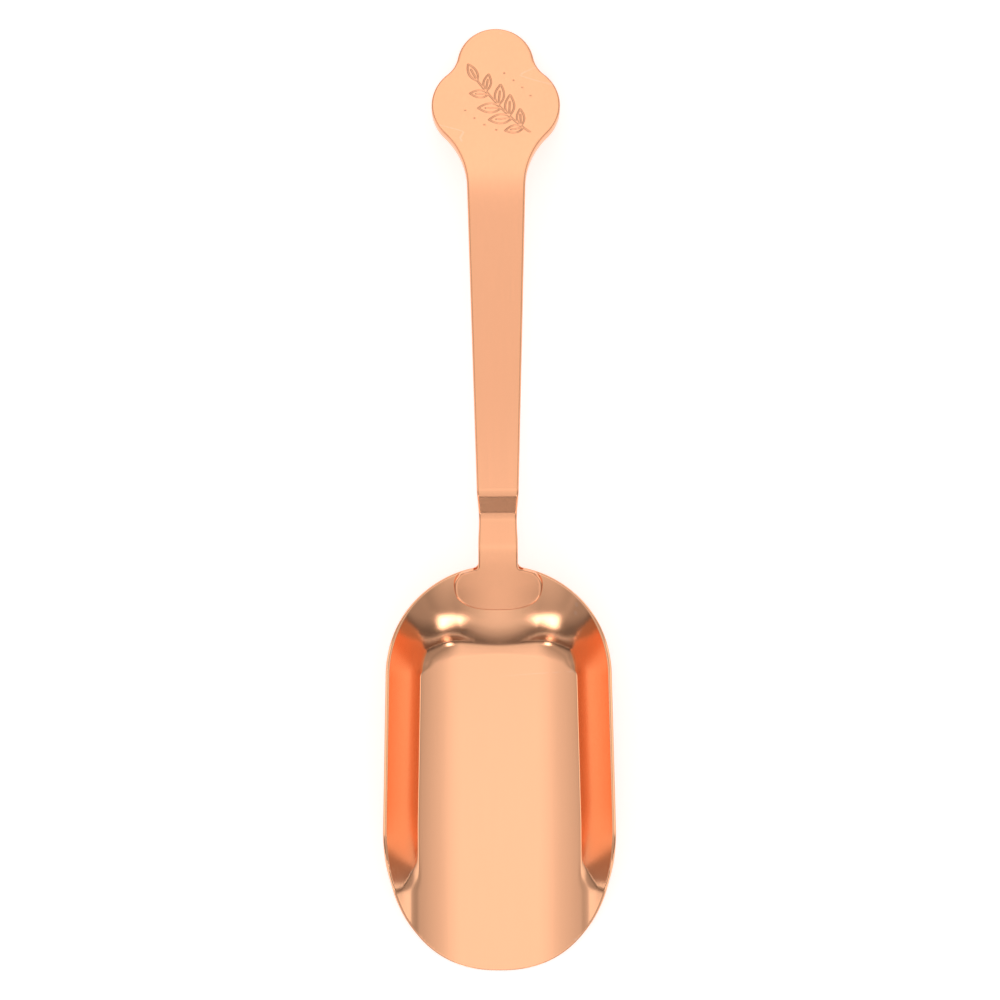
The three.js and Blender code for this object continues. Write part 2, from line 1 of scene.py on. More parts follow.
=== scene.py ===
"""Looks of the bar spoon: a pressed channel bowl, a stamped strip handle and the braze between them.

Lengths are millimetres until a mesh is made, which turns them into metres. The shapes use the same
formulas as the CAD part, with a finer mesh, rounded sheet edges and the engraving.
"""
import math
import bmesh
import bpy
import numpy as np
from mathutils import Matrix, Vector


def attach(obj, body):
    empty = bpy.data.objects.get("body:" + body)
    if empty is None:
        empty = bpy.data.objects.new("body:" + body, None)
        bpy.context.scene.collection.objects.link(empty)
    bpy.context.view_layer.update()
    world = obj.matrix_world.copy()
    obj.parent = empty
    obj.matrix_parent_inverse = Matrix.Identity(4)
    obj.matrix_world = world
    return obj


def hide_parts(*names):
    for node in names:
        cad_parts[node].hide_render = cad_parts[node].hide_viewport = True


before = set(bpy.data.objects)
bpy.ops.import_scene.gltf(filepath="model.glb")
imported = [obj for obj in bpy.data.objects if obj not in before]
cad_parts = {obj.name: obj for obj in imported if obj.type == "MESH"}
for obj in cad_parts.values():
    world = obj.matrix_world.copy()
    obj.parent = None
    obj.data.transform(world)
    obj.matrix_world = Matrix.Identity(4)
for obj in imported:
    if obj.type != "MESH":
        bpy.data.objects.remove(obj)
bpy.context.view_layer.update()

MM = 0.001
DEG = math.pi / 180

# ---------- sizes shared with the CAD part, mm ----------
LENGTH = 175.0
LIP_Y = -LENGTH / 2
TIP_Y = LENGTH / 2

BOWL_SHEET = 0.8
BOWL_DEPTH = 9.72
BACK_DEPTH = 8.6
BACK_DEPTH_START = 50 * DEG
RIM_BACK_Y = -12.05
BACK_ARC_Y = -32.8
WIDEST_Y = -60.2
BACK_HALF_WIDTH = 20.1
WIDEST_HALF_WIDTH = 20.7
BACK_ROUNDNESS = 2.1
LIP_ROUNDNESS = 2.35
FLOOR_INSET = 5.8
FLOOR_BACK_Y = -28.6
FLOOR_CORNER_ROUNDNESS = 1.9
FLAT_HALF_WIDTH = 6.5
TROUGH_SLOPE = math.tan(11 * DEG)
CREASE_RADIUS = 0.6
SIDE_CREASE = 55 * DEG
SIDE_CREASE_END = 34 * DEG
BACK_CREASE = 18 * DEG
BACK_CREASE_START = 50 * DEG
CREASE_FADE = 0.45
BACK_BEND_RADIUS = 5.0
LIP_BEND_RADIUS = 7.0
RIM_ANGLE_SIDE = 58.0 * DEG
RIM_ANGLE_NECK = 14 * DEG
RIM_ANGLE_LIP = 18 * DEG
SHOULDER_START = 5 * DEG
SHOULDER_END = 65 * DEG

TONGUE_END_Y = -20.4
TONGUE_BACK_Y = -13.4
TONGUE_BACK_HALF_WIDTH = 6.7
TONGUE_ROUNDNESS = 2.6
CORNER_START_Y = -12.8
TONGUE_MIDDLE_Y = -15.6
TONGUE_HALF_WIDTH = 8.0
NECK_HALF_WIDTH = 3.6
NECK_CORNER_RADIUS = 0.8
PINCH_HALF_WIDTH = 3.45
ARM_START_HALF_WIDTH = 3.8
ARM_END_HALF_WIDTH = 5.3
TOP_LOBE_RADIUS = 7.1
SIDE_LOBE_RADIUS = 7.65
SIDE_LOBE = (4.15, 72.5)
UPPER_FILLET_RADIUS = 5.5
LOWER_FILLET_RADIUS = 14.4

HANDLE_SHEET = 2.2
NECK_SHEET = 1.8
TONGUE_TIP_SHEET = 0.6
NECK_LEVEL_Y = -8.0
TONGUE_TAPER_Y = -17.0
JOGGLE_FOOT_Y = -3.8
JOGGLE_ANGLE = 44 * DEG
JOGGLE_LOWER_RADIUS = 2.4
JOGGLE_UPPER_RADIUS = 2.3
JOGGLE_STRAIGHT = 2.6
KNEE_START_Y = 50.0
KNEE_END_Y = 68.0
KNEE_SLOPE = 0.37
TIP_SLOPE = 0.395
CAD_GAP = 0.3

# ---------- sizes of the looks only, mm ----------
BOWL_EDGE = 0.24
HANDLE_EDGE = 0.3
SEAT_GAP = 0.02
TONGUE_EDGE_SHEET = 0.35
BOWL_SLOPE_STEP = 0.004
STRIP_SLOPE_STEP = 0.01


# ---------- small helpers ----------
def smooth(value, low, high):
    share = np.clip((np.asarray(value, float) - low) / (high - low), 0, 1)
    return share * share * (3 - 2 * share)


def lerp(start, end, share):
    return start + (end - start) * share


def super_points(half_width, height, roundness, turn):
    """Points of a superellipse's quarter: turn 0 at the side, a quarter turn at the end."""
    power = 2 / roundness
    return np.stack([half_width * np.maximum(np.cos(turn), 0) ** power,
                     height * np.maximum(np.sin(turn), 0) ** power], -1)


def unit(vectors):
    return vectors / np.linalg.norm(vectors, axis=-1, keepdims=True)


# ---------- bowl surface ----------
def rim_half_width(y, inset=0.0):
    """Half width of the inside rim from the lip to the start of the back arc."""
    widest, lip = WIDEST_HALF_WIDTH - inset, LIP_Y + inset
    straight = lerp(widest, BACK_HALF_WIDTH - inset, (y - WIDEST_Y) / (BACK_ARC_Y - WIDEST_Y))
    reach = np.clip((WIDEST_Y - y) / (WIDEST_Y - lip), 0, 1)
    return np.where(y >= WIDEST_Y, straight, widest * (1 - reach ** LIP_ROUNDNESS) ** (1 / LIP_ROUNDNESS))


def floor_half_width(y):
    return rim_half_width(np.maximum(y, WIDEST_Y)) - FLOOR_INSET


def trough(x, half_width):
    """Height and slope of the floor, flat in the middle and curling up towards its long edges."""
    beyond = np.maximum(0, np.abs(x) - FLAT_HALF_WIDTH)
    run = half_width - FLAT_HALF_WIDTH
    return TROUGH_SLOPE * beyond ** 2 / (2 * run), TROUGH_SLOPE * beyond / run


def wall_section(span, foot_height, foot_angle, crease_angle, rim_angle, radius, depth):
    """A crease out of the floor, a bend, then one arc up to the rim, which it meets at the bowl's depth.

    The bend takes over where the crease ends, and stops at the angle that brings the rim to its height.
    """
    crease_end = CREASE_RADIUS * (np.sin(crease_angle) - np.sin(foot_angle))
    crease_height = foot_height + CREASE_RADIUS * (np.cos(foot_angle) - np.cos(crease_angle))
    low, high = crease_angle + 0 * span, np.full_like(span, 80 * DEG)
    for _ in range(40):
        angle = (low + high) / 2
        bend_end = crease_end + radius * (np.sin(angle) - np.sin(crease_angle))
        bend_height = crease_height + radius * (np.cos(crease_angle) - np.cos(angle))
        too_high = bend_height + (span - bend_end) * np.tan((angle + rim_angle) / 2) > depth
        low, high = np.where(too_high, low, angle), np.where(too_high, angle, high)
    return dict(angle=angle, bend_end=bend_end, bend_height=bend_height, span=span, radius=radius,
                crease_end=crease_end, crease_height=crease_height, crease_angle=crease_angle,
                foot_height=foot_height, foot_angle=foot_angle, rim_angle=rim_angle)


def arc_height(run, start_angle, radius):
    """Rise of an arc over a run from where it stands at an angle."""
    end_sine = np.sin(start_angle) + run / radius
    return radius * (np.cos(start_angle) - np.sqrt(np.maximum(0, 1 - end_sine ** 2)))


def wall_height(s, distance):
    """Height at a distance from the floor's edge, for one section or for arrays of sections."""
    crease_run = np.clip(distance, 0, s["crease_end"])
    crease = s["foot_height"] + arc_height(crease_run, s["foot_angle"], CREASE_RADIUS)
    bend_run = np.clip(distance - s["crease_end"], 0, s["bend_end"] - s["crease_end"])
    bend = s["crease_height"] + arc_height(bend_run, s["crease_angle"], s["radius"])
    run = np.clip(distance - s["bend_end"], 0, s["span"] - s["bend_end"])
    share = run / (s["span"] - s["bend_end"])
    slope = np.arcsin(lerp(np.sin(s["angle"]), np.sin(s["rim_angle"]), share))
    arc = s["bend_height"] + run * np.tan((s["angle"] + slope) / 2)
    past = np.maximum(0, distance - s["span"]) * np.tan(s["rim_angle"])
    bent = np.where(distance <= s["crease_end"], crease, bend)
    return np.where(distance <= s["bend_end"], bent, arc) + past


def back_ribs(turn):
    """Ribs of the back: in plan, straight lines from the floor's edge to the rim."""
    floor_width = BACK_HALF_WIDTH - FLOOR_INSET
    foot = super_points(floor_width, FLOOR_BACK_Y - BACK_ARC_Y, FLOOR_CORNER_ROUNDNESS, turn)
    rim = super_points(BACK_HALF_WIDTH, RIM_BACK_Y - BACK_ARC_Y, BACK_ROUNDNESS, turn)
    span = np.linalg.norm(rim - foot, axis=-1)
    along = (rim - foot) / span[..., None]
    foot_height, foot_slope = trough(foot[..., 0], floor_width)
    rim_angle = lerp(RIM_ANGLE_SIDE, RIM_ANGLE_NECK, smooth(turn, SHOULDER_START, SHOULDER_END))
    foot_angle = np.arctan(foot_slope * along[..., 0])
    side_crease = (SIDE_CREASE - foot_angle) * (1 - smooth(turn, 0, SIDE_CREASE_END))
    crease_angle = foot_angle + side_crease + BACK_CREASE * smooth(turn, BACK_CREASE_START, math.pi / 2)
    depth = lerp(BOWL_DEPTH, BACK_DEPTH, smooth(turn, 0, BACK_DEPTH_START))
    section = wall_section(span, foot_height, foot_angle, crease_angle, rim_angle,
                           BACK_BEND_RADIUS + 0 * turn, depth)
    return dict(foot=foot + (0, BACK_ARC_Y), along=along, floor_width=floor_width + 0 * turn, **section)


def side_ribs(y):
    """Ribs across the channel. Towards the lip the wall leans out and its bend opens up."""
    floor_width = floor_half_width(y)
    foot_height, foot_slope = trough(floor_width, floor_width)
    foot_angle = np.arctan(foot_slope)
    opening = smooth(WIDEST_Y - y, 0, WIDEST_Y - LIP_Y)
    angle = lerp(RIM_ANGLE_SIDE, RIM_ANGLE_LIP, opening)
    crease_angle = lerp(SIDE_CREASE, foot_angle, smooth(opening, 0, CREASE_FADE))
    crease_end = CREASE_RADIUS * (np.sin(crease_angle) - np.sin(foot_angle))
    bend_end = crease_end + LIP_BEND_RADIUS * (np.sin(angle) - np.sin(crease_angle))
    straight = (foot_height + CREASE_RADIUS * (np.cos(foot_angle) - np.cos(crease_angle))
                + LIP_BEND_RADIUS * (np.cos(crease_angle) - np.cos(angle))
                + (FLOOR_INSET - bend_end) * np.tan(angle))
    depth = np.where(opening > 0, straight, BOWL_DEPTH)
    section = wall_section(FLOOR_INSET + 0 * y, foot_height, foot_angle, crease_angle, angle,
                           LIP_BEND_RADIUS + 0 * y, depth)
    foot = np.stack([floor_width, y], -1)
    along = np.stack([1 + 0 * y, 0 * y], -1)
    return dict(foot=foot, along=along, floor_width=floor_width, **section)


RIB_TABLE = back_ribs(np.linspace(0, math.pi / 2, 800))


def ribs_at(place):
    """Ribs of the back at places in the rib table, mixed from the two nearest."""
    low = np.clip(place.astype(int), 0, len(RIB_TABLE["span"]) - 2)
    share = place - low
    mixed = {}
    for key, column in RIB_TABLE.items():
        part = share[..., None] if column.ndim > 1 else share
        mixed[key] = lerp(column[low], column[low + 1], part)
    return mixed


def ribs_through(x, y):
    """The ribs of the back that pass through points, found by halving."""
    low, high = np.zeros(x.shape), np.full(x.shape, len(RIB_TABLE["span"]) - 1.0)
    for _ in range(30):
        middle = (low + high) / 2
        ribs = ribs_at(middle)
        foot, along = ribs["foot"], ribs["along"]
        beyond = along[..., 0] * (y - foot[..., 1]) > along[..., 1] * (x - foot[..., 0])
        low, high = np.where(beyond, middle, low), np.where(beyond, high, middle)
    return ribs_at((low + high) / 2)


def inside_height(x, y):
    """Height of the bowl's inside above its own floor for arrays of points."""
    x, y = np.broadcast_arrays(np.abs(np.asarray(x, float)), np.asarray(y, float))
    heights = []
    for ribs in (side_ribs(np.minimum(y, BACK_ARC_Y)), ribs_through(x, np.maximum(y, BACK_ARC_Y))):
        foot, along = ribs["foot"], ribs["along"]
        distance = (x - foot[..., 0]) * along[..., 0] + (y - foot[..., 1]) * along[..., 1]
        floor, _ = trough(x, ribs["floor_width"])
        heights.append(np.where(distance <= 0, floor, wall_height(ribs, np.maximum(distance, 0))))
    return np.where(y <= BACK_ARC_Y, *heights)


# ---------- meshes ----------
def mesh_object(name, points, faces):
    """A smooth shaded mesh object from points in mm, with doubled points merged and faces turned out."""
    mesh = bpy.data.meshes.new(name)
    mesh.from_pydata([tuple(p) for p in np.asarray(points) * MM], [], faces)
    work = bmesh.new()
    work.from_mesh(mesh)
    bmesh.ops.remove_doubles(work, verts=work.verts, dist=2e-7)
    bmesh.ops.dissolve_degenerate(work, dist=1e-7, edges=work.edges)
    bmesh.ops.recalc_face_normals(work, faces=work.faces)
    work.to_mesh(mesh)
    work.free()
    for face in mesh.polygons:
        face.use_smooth = True
    piece = bpy.data.objects.new(name, mesh)
    bpy.context.scene.collection.objects.link(piece)
    return piece


def grid_faces(rows, columns, first=0, flip=False):
    at = lambda row, column: first + row * columns + column
    faces = []
    for row in range(rows - 1):
        for column in range(columns - 1):
            quad = (at(row, column), at(row, column + 1), at(row + 1, column + 1), at(row + 1, column))
            faces.append(quad[::-1] if flip else quad)
    return faces


def edge_rings(upper_loop, lower_loop, outward, radius, steps):
    """Rings of points round a sheet's edge: a rounded corner, the flat of the cut, a rounded corner."""
    middle = (upper_loop + lower_loop) / 2
    thickness = np.linalg.norm(upper_loop - lower_loop, axis=1, keepdims=True)
    up = (upper_loop - lower_loop) / thickness
    corner = np.minimum(radius * 1.1, thickness * 0.42)
    rings = []
    for side in (1, -1):
        turns = [math.pi / 2 * step / steps for step in range(1, steps + 1)]
        for turn in turns if side > 0 else turns[::-1]:
            height = thickness / 2 - corner * (1 - math.cos(turn))
            rings.append(middle + side * up * height + outward * radius * math.sin(turn))
    return rings


def ring_faces(loop_a, loop_b):
    count = len(loop_a)
    return [(loop_a[i], loop_b[i], loop_b[(i + 1) % count], loop_a[(i + 1) % count]) for i in range(count)]


# ---------- bowl ----------
LIP_STEPS, SIDE_STEPS, BACK_STEPS = 110, 50, 120
FLOOR_STEPS, BEND_STEPS, WALL_STEPS, EDGE_STEPS = 26, 10, 34, 4


def rib_rows(ribs, spines, reaches):
    """Rows of points along ribs, from the floor's middle to where each rib ends."""
    rows = []
    for index, (spine, reach) in enumerate(zip(spines, reaches)):
        rib = {key: column[index] for key, column in ribs.items()}
        across = rib["foot"] - spine
        floor = np.hypot(*across)
        bend, span = rib["bend_end"], rib["span"]
        places = np.concatenate([
            np.linspace(0, floor, FLOOR_STEPS, endpoint=False),
            np.linspace(floor, floor + bend, BEND_STEPS, endpoint=False),
            np.linspace(floor + bend, floor + span, WALL_STEPS),
        ])
        places = np.minimum(places, reach)
        beyond = np.maximum(0, places - floor)
        share = np.minimum(places, floor) / floor
        plan = spine + across * share[:, None] + rib["along"] * beyond[:, None]
        floor_z, _ = trough(plan[:, 0], rib["floor_width"])
        z = np.where(beyond > 0, wall_height(rib, beyond), floor_z)
        rows.append(np.column_stack([plan, BOWL_SHEET + z]))
    return rows


def bowl_rows():
    """The right half of the inside surface: one row for each rib, from the lip round to the back."""
    turn = np.linspace(math.pi / 2, 0, LIP_STEPS + 1)
    y = np.concatenate([lerp(WIDEST_Y, LIP_Y + BOWL_EDGE, np.sin(turn)),
                        np.linspace(WIDEST_Y, BACK_ARC_Y, SIDE_STEPS + 1)[1:]])
    ribs = side_ribs(y)
    inset = BOWL_EDGE * np.cos(ribs["rim_angle"])
    reaches = np.minimum(rim_half_width(y, inset), rim_half_width(y, BOWL_EDGE) + BOWL_EDGE - inset)
    reaches[0] = 0
    side = rib_rows(ribs, np.stack([0 * y, y], -1), reaches)
    turn = np.linspace(0, math.pi / 2, BACK_STEPS + 1)[1:]
    ribs = back_ribs(turn)
    floor = np.linalg.norm(ribs["foot"] - (0, BACK_ARC_Y), axis=-1)
    reaches = floor + ribs["span"] - BOWL_EDGE * np.cos(ribs["rim_angle"])
    back = rib_rows(ribs, np.tile((0.0, BACK_ARC_Y), (len(turn), 1)), reaches)
    return np.array(side + back)


def surface_normals(x, y):
    """Upward normals of the bowl's inside at plan points, from its height formula."""
    step = BOWL_SLOPE_STEP
    slope_x = (inside_height(x + step, y) - inside_height(x - step, y)) / (2 * step)
    slope_y = (inside_height(x, y + step) - inside_height(x, y - step)) / (2 * step)
    return unit(np.stack([-slope_x, -slope_y, np.ones_like(slope_x)], -1))


def make_bowl():
    half = bowl_rows()
    normals = surface_normals(half[..., 0], half[..., 1])
    mirror = np.array([-1.0, 1, 1])
    inside = np.concatenate([half[:, :0:-1] * mirror, half], 1)
    up = np.concatenate([normals[:, :0:-1] * mirror, normals], 1)
    outside = inside - BOWL_SHEET * up
    rows, columns = inside.shape[:2]
    count = rows * columns
    points = [*inside.reshape(-1, 3), *outside.reshape(-1, 3)]
    faces = grid_faces(rows, columns) + grid_faces(rows, columns, count, flip=True)
    right = [row * columns + columns - 1 for row in range(rows)]
    left = [row * columns for row in range(rows - 2, 0, -1)]
    loop = right + left
    upper = np.array([points[i] for i in loop])
    lower = np.array([points[i + count] for i in loop])
    tangent = unit(np.roll(upper, -1, 0) - np.roll(upper, 1, 0))
    outward = unit(np.cross(tangent, unit(upper - lower)))
    previous = loop
    for ring in edge_rings(upper, lower, outward, BOWL_EDGE, EDGE_STEPS):
        here = list(range(len(points), len(points) + len(ring)))
        points.extend(ring)
        faces += ring_faces(previous, here)
        previous = here
    faces += ring_faces(previous, [i + count for i in loop])
    return mesh_object("bowl_pressing", points, faces)


# ---------- handle outline ----------
def fillet_centre(a, reach_a, b, reach_b):
    """Centre of the circle that touches two others from outside, on the side away from the axis."""
    gap = math.dist(a, b)
    along = (gap ** 2 + reach_a ** 2 - reach_b ** 2) / (2 * gap)
    across = math.sqrt(reach_a ** 2 - along ** 2)
    ux, uy = (b[0] - a[0]) / gap, (b[1] - a[1]) / gap
    return a[0] + ux * along - uy * across, a[1] + uy * along + ux * across


def touch_y(centre, radius, other, other_radius):
    return centre[1] + (other[1] - centre[1]) * radius / (radius + other_radius)


TOP_LOBE = (0.0, TIP_Y - TOP_LOBE_RADIUS)
UPPER_FILLET = fillet_centre(TOP_LOBE, TOP_LOBE_RADIUS + UPPER_FILLET_RADIUS,
                             SIDE_LOBE, SIDE_LOBE_RADIUS + UPPER_FILLET_RADIUS)
LOWER_FILLET_X = ARM_END_HALF_WIDTH + LOWER_FILLET_RADIUS
LOWER_FILLET_DROP = math.sqrt((SIDE_LOBE_RADIUS + LOWER_FILLET_RADIUS) ** 2
                              - (LOWER_FILLET_X - SIDE_LOBE[0]) ** 2)
LOWER_FILLET = (LOWER_FILLET_X, SIDE_LOBE[1] - LOWER_FILLET_DROP)
ARM_END_Y = LOWER_FILLET[1]
LOWER_TOUCH_Y = touch_y(SIDE_LOBE, SIDE_LOBE_RADIUS, LOWER_FILLET, LOWER_FILLET_RADIUS)
UPPER_TOUCH_Y = touch_y(SIDE_LOBE, SIDE_LOBE_RADIUS, UPPER_FILLET, UPPER_FILLET_RADIUS)
TOP_TOUCH_Y = touch_y(TOP_LOBE, TOP_LOBE_RADIUS, UPPER_FILLET, UPPER_FILLET_RADIUS)

JOGGLE_LOWER_END_Y = JOGGLE_FOOT_Y + JOGGLE_LOWER_RADIUS * math.sin(JOGGLE_ANGLE)
JOGGLE_UPPER_START_Y = JOGGLE_LOWER_END_Y + JOGGLE_STRAIGHT
JOGGLE_TOP_Y = JOGGLE_UPPER_START_Y + JOGGLE_UPPER_RADIUS * math.sin(JOGGLE_ANGLE)
CORNER_END_Y = CORNER_START_Y + NECK_CORNER_RADIUS


def circle_x(centre, radius, y, bulge):
    return centre[0] + bulge * np.sqrt(np.maximum(0, radius ** 2 - (y - centre[1]) ** 2))


def tongue_half_width(y):
    corner_width = NECK_HALF_WIDTH + NECK_CORNER_RADIUS
    front = np.clip((TONGUE_MIDDLE_Y - y) / (TONGUE_MIDDLE_Y - TONGUE_END_Y), 0, 1)
    back = np.clip((y - TONGUE_MIDDLE_Y) / (TONGUE_BACK_Y - TONGUE_MIDDLE_Y), 0, 1)
    edge = np.clip((y - TONGUE_BACK_Y) / (CORNER_START_Y - TONGUE_BACK_Y), 0, 1)
    corner = (corner_width, CORNER_END_Y)
    return np.select(
        [y < TONGUE_MIDDLE_Y, y < TONGUE_BACK_Y, y < CORNER_START_Y],
        [TONGUE_HALF_WIDTH * (1 - front ** TONGUE_ROUNDNESS) ** (1 / TONGUE_ROUNDNESS),
         lerp(TONGUE_HALF_WIDTH, TONGUE_BACK_HALF_WIDTH, back ** 2),
         lerp(TONGUE_BACK_HALF_WIDTH, corner_width, edge)],
        circle_x(corner, NECK_CORNER_RADIUS, y, -1))


def handle_half_width(y):
    neck = lerp(NECK_HALF_WIDTH, PINCH_HALF_WIDTH, smooth(y, NECK_LEVEL_Y, JOGGLE_FOOT_Y))
    joggle = lerp(PINCH_HALF_WIDTH, ARM_START_HALF_WIDTH, smooth(y, JOGGLE_FOOT_Y, JOGGLE_TOP_Y))
    arm = lerp(ARM_START_HALF_WIDTH, ARM_END_HALF_WIDTH, (y - JOGGLE_TOP_Y) / (ARM_END_Y - JOGGLE_TOP_Y))
    return np.select(
        [y < CORNER_END_Y, y < JOGGLE_FOOT_Y, y < JOGGLE_TOP_Y, y < ARM_END_Y,
         y < LOWER_TOUCH_Y, y < UPPER_TOUCH_Y, y < TOP_TOUCH_Y],
        [tongue_half_width(y), neck, joggle, arm,
         circle_x(LOWER_FILLET, LOWER_FILLET_RADIUS, y, -1), circle_x(SIDE_LOBE, SIDE_LOBE_RADIUS, y, 1),
         circle_x(UPPER_FILLET, UPPER_FILLET_RADIUS, y, -1)],
        circle_x(TOP_LOBE, TOP_LOBE_RADIUS, y, 1))


def moved_in_outline(inset):
    """The outline's right half moved in by an inset: Y and half width, from the tongue to the tip."""
    turn = np.linspace(0, math.pi / 2, 400)
    y = np.concatenate([
        lerp(TONGUE_END_Y, TONGUE_MIDDLE_Y, 1 - np.cos(turn)),
        np.arange(TONGUE_MIDDLE_Y, TOP_TOUCH_Y, OUTLINE_STEP)[1:],
        lerp(TOP_TOUCH_Y, TIP_Y, np.sin(turn)),
    ])
    right = np.column_stack([handle_half_width(y), y])
    loop = np.concatenate([right, right[-2:0:-1] * (-1, 1), right[:1]])
    length = np.concatenate([[0], np.cumsum(np.hypot(*np.diff(loop, axis=0).T))])
    count = 2 * int(length[-1] / OUTLINE_STEP / 2)
    even = np.linspace(0, length[-1], count, endpoint=False)
    loop = np.column_stack([np.interp(even, length, loop[:, axis]) for axis in (0, 1)])
    kernel = np.hanning(2 * OUTLINE_SOFTENING + 1)
    kernel /= kernel.sum()
    padded = np.concatenate([loop[-OUTLINE_SOFTENING:], loop, loop[:OUTLINE_SOFTENING]])
    loop = np.column_stack([np.convolve(padded[:, axis], kernel, "valid") for axis in (0, 1)])
    tangent = unit(np.roll(loop, -1, 0) - np.roll(loop, 1, 0))
    moved = loop - inset * np.column_stack([tangent[:, 1], -tangent[:, 0]])
    half = moved[:count // 2 + 1]
    half_width = np.maximum(half[:, 0], 0)
    half_width[[0, -1]] = 0
    return np.maximum.accumulate(half[:, 1]), half_width


# ---------- handle side profile ----------
JOGGLE_BEND = 1 - math.cos(JOGGLE_ANGLE)
JOGGLE_RISE = ((JOGGLE_LOWER_RADIUS + JOGGLE_UPPER_RADIUS) * JOGGLE_BEND
               + JOGGLE_STRAIGHT * math.tan(JOGGLE_ANGLE))
NECK_RUN = NECK_LEVEL_Y - RIM_BACK_Y
SEAT_Z = BOWL_SHEET + BACK_DEPTH + CAD_GAP
NECK_UNDER_Z = SEAT_Z + NECK_RUN * math.tan(RIM_ANGLE_NECK) / 2
NECK_TOP_Z = NECK_UNDER_Z + NECK_SHEET
ARM_TOP_Z = NECK_TOP_Z + JOGGLE_RISE
TIP_TOP_Z = HANDLE_SHEET * math.cos(math.atan(TIP_SLOPE))
ARM_SLOPE = ((ARM_TOP_Z - TIP_TOP_Z - KNEE_SLOPE * (TIP_Y - KNEE_START_Y) / 2
              - TIP_SLOPE * (TIP_Y - KNEE_END_Y) / 2) / ((KNEE_END_Y - JOGGLE_TOP_Y) / 2))


def ramp_area(y, start, end):
    return np.clip(y - start, 0, end - start) ** 2 / (2 * (end - start)) + np.maximum(0, y - end)


def smooth_area(y, start, end):
    reach = np.clip((y - start) / (end - start), 0, 1)
    return (reach ** 3 - reach ** 4 / 2) * (end - start) + np.maximum(0, y - end)


def handle_top_z(y):
    """Height of the upper face from the level part of the neck to the tip."""
    arm = (ARM_TOP_Z - ARM_SLOPE * ramp_area(y, JOGGLE_TOP_Y, KNEE_START_Y)
           - (KNEE_SLOPE - ARM_SLOPE) * smooth_area(y, KNEE_START_Y, KNEE_END_Y)
           - (TIP_SLOPE - KNEE_SLOPE) * ramp_area(y, KNEE_END_Y, TIP_Y))
    low_run = np.clip(y - JOGGLE_FOOT_Y, 0, JOGGLE_LOWER_RADIUS)
    high_run = np.clip(JOGGLE_TOP_Y - y, 0, JOGGLE_UPPER_RADIUS)
    return np.select(
        [y < JOGGLE_FOOT_Y, y < JOGGLE_LOWER_END_Y, y < JOGGLE_UPPER_START_Y, y < JOGGLE_TOP_Y],
        [np.full_like(y, NECK_TOP_Z),
         NECK_TOP_Z + JOGGLE_LOWER_RADIUS - np.sqrt(JOGGLE_LOWER_RADIUS ** 2 - low_run ** 2),
         NECK_TOP_Z + JOGGLE_LOWER_RADIUS * JOGGLE_BEND + (y - JOGGLE_LOWER_END_Y) * math.tan(JOGGLE_ANGLE),
         ARM_TOP_Z - JOGGLE_UPPER_RADIUS + np.sqrt(JOGGLE_UPPER_RADIUS ** 2 - high_run ** 2)],
        arm)


def seat_z(x, y):
    """The CAD part's underside of the tongue and neck: it follows the bowl, then levels out."""
    run = np.minimum(y - RIM_BACK_Y, NECK_RUN)
    neck = SEAT_Z + math.tan(RIM_ANGLE_NECK) * (run - np.maximum(0, run) ** 2 / (2 * NECK_RUN))
    over_bowl = BOWL_SHEET + inside_height(x, y) + CAD_GAP
    return lerp(over_bowl, neck, smooth(y, RIM_BACK_Y, NECK_LEVEL_Y - NECK_RUN / 2))


def handle_sheet(y):
    tongue = lerp(TONGUE_TIP_SHEET, NECK_SHEET, smooth(y, TONGUE_TAPER_Y, NECK_LEVEL_Y))
    return tongue + (HANDLE_SHEET - NECK_SHEET) * smooth(y, JOGGLE_FOOT_Y, JOGGLE_TOP_Y)


def upper_z(x, y):
    """Height of the strip's upper face; the tongue's front thins out to a feathered edge."""
    step = STRIP_SLOPE_STEP
    slope = (seat_z(x, y + step) - seat_z(x, y - step)) / (2 * step)
    feather = (CAD_GAP + TONGUE_TIP_SHEET - TONGUE_EDGE_SHEET) * (1 - smooth(y, TONGUE_END_Y, RIM_BACK_Y))
    tongue = seat_z(x, y) + handle_sheet(y) * np.hypot(1, slope) - feather
    return np.where(y < NECK_LEVEL_Y, tongue, handle_top_z(y))


def strip_layers(x, y):
    """Upper and lower points of the strip. The lower ones lie on the bowl where the tongue does."""
    step = STRIP_SLOPE_STEP
    slope_x = (upper_z(x + step, y) - upper_z(x - step, y)) / (2 * step)
    slope_y = (upper_z(x, y + step) - upper_z(x, y - step)) / (2 * step)
    normal = unit(np.stack([-slope_x, -slope_y, np.ones_like(slope_x)], -1))
    upper = np.stack([x, y, upper_z(x, y)], -1)
    lower = upper - handle_sheet(y)[..., None] * normal
    on_bowl = 1 - smooth(lower[..., 1], RIM_BACK_Y - 1, RIM_BACK_Y - 0.2)
    seat = BOWL_SHEET + inside_height(lower[..., 0], np.minimum(lower[..., 1], RIM_BACK_Y)) + SEAT_GAP
    lower[..., 2] = lerp(lower[..., 2], seat, on_bowl)
    return upper, lower


# ---------- engraving ----------
# A plain sprig of outlined leaves on a curved stem, with dots. Strokes are lists of points, in mm.
def bend_curve(start, middle, end, count=24):
    share = np.linspace(0, 1, count)[:, None]
    start, middle, end = map(np.array, (start, middle, end))
    return (1 - share) ** 2 * start + 2 * share * (1 - share) * middle + share ** 2 * end


def leaf_strokes(root, direction, length, width):
    """A leaf's two sides and its vein, from its root along a direction in degrees."""
    along = np.array([math.cos(direction * DEG), math.sin(direction * DEG)])
    across = np.array([-along[1], along[0]])
    root = np.array(root)
    tip = root + along * length
    belly = root + along * length * LEAF_BELLY
    sides = [bend_curve(root, belly + across * side * width, tip) for side in (1, -1)]
    vein = bend_curve(root, root + along * length * VEIN_LENGTH / 2, root + along * length * VEIN_LENGTH, 8)
    return [*sides, vein]


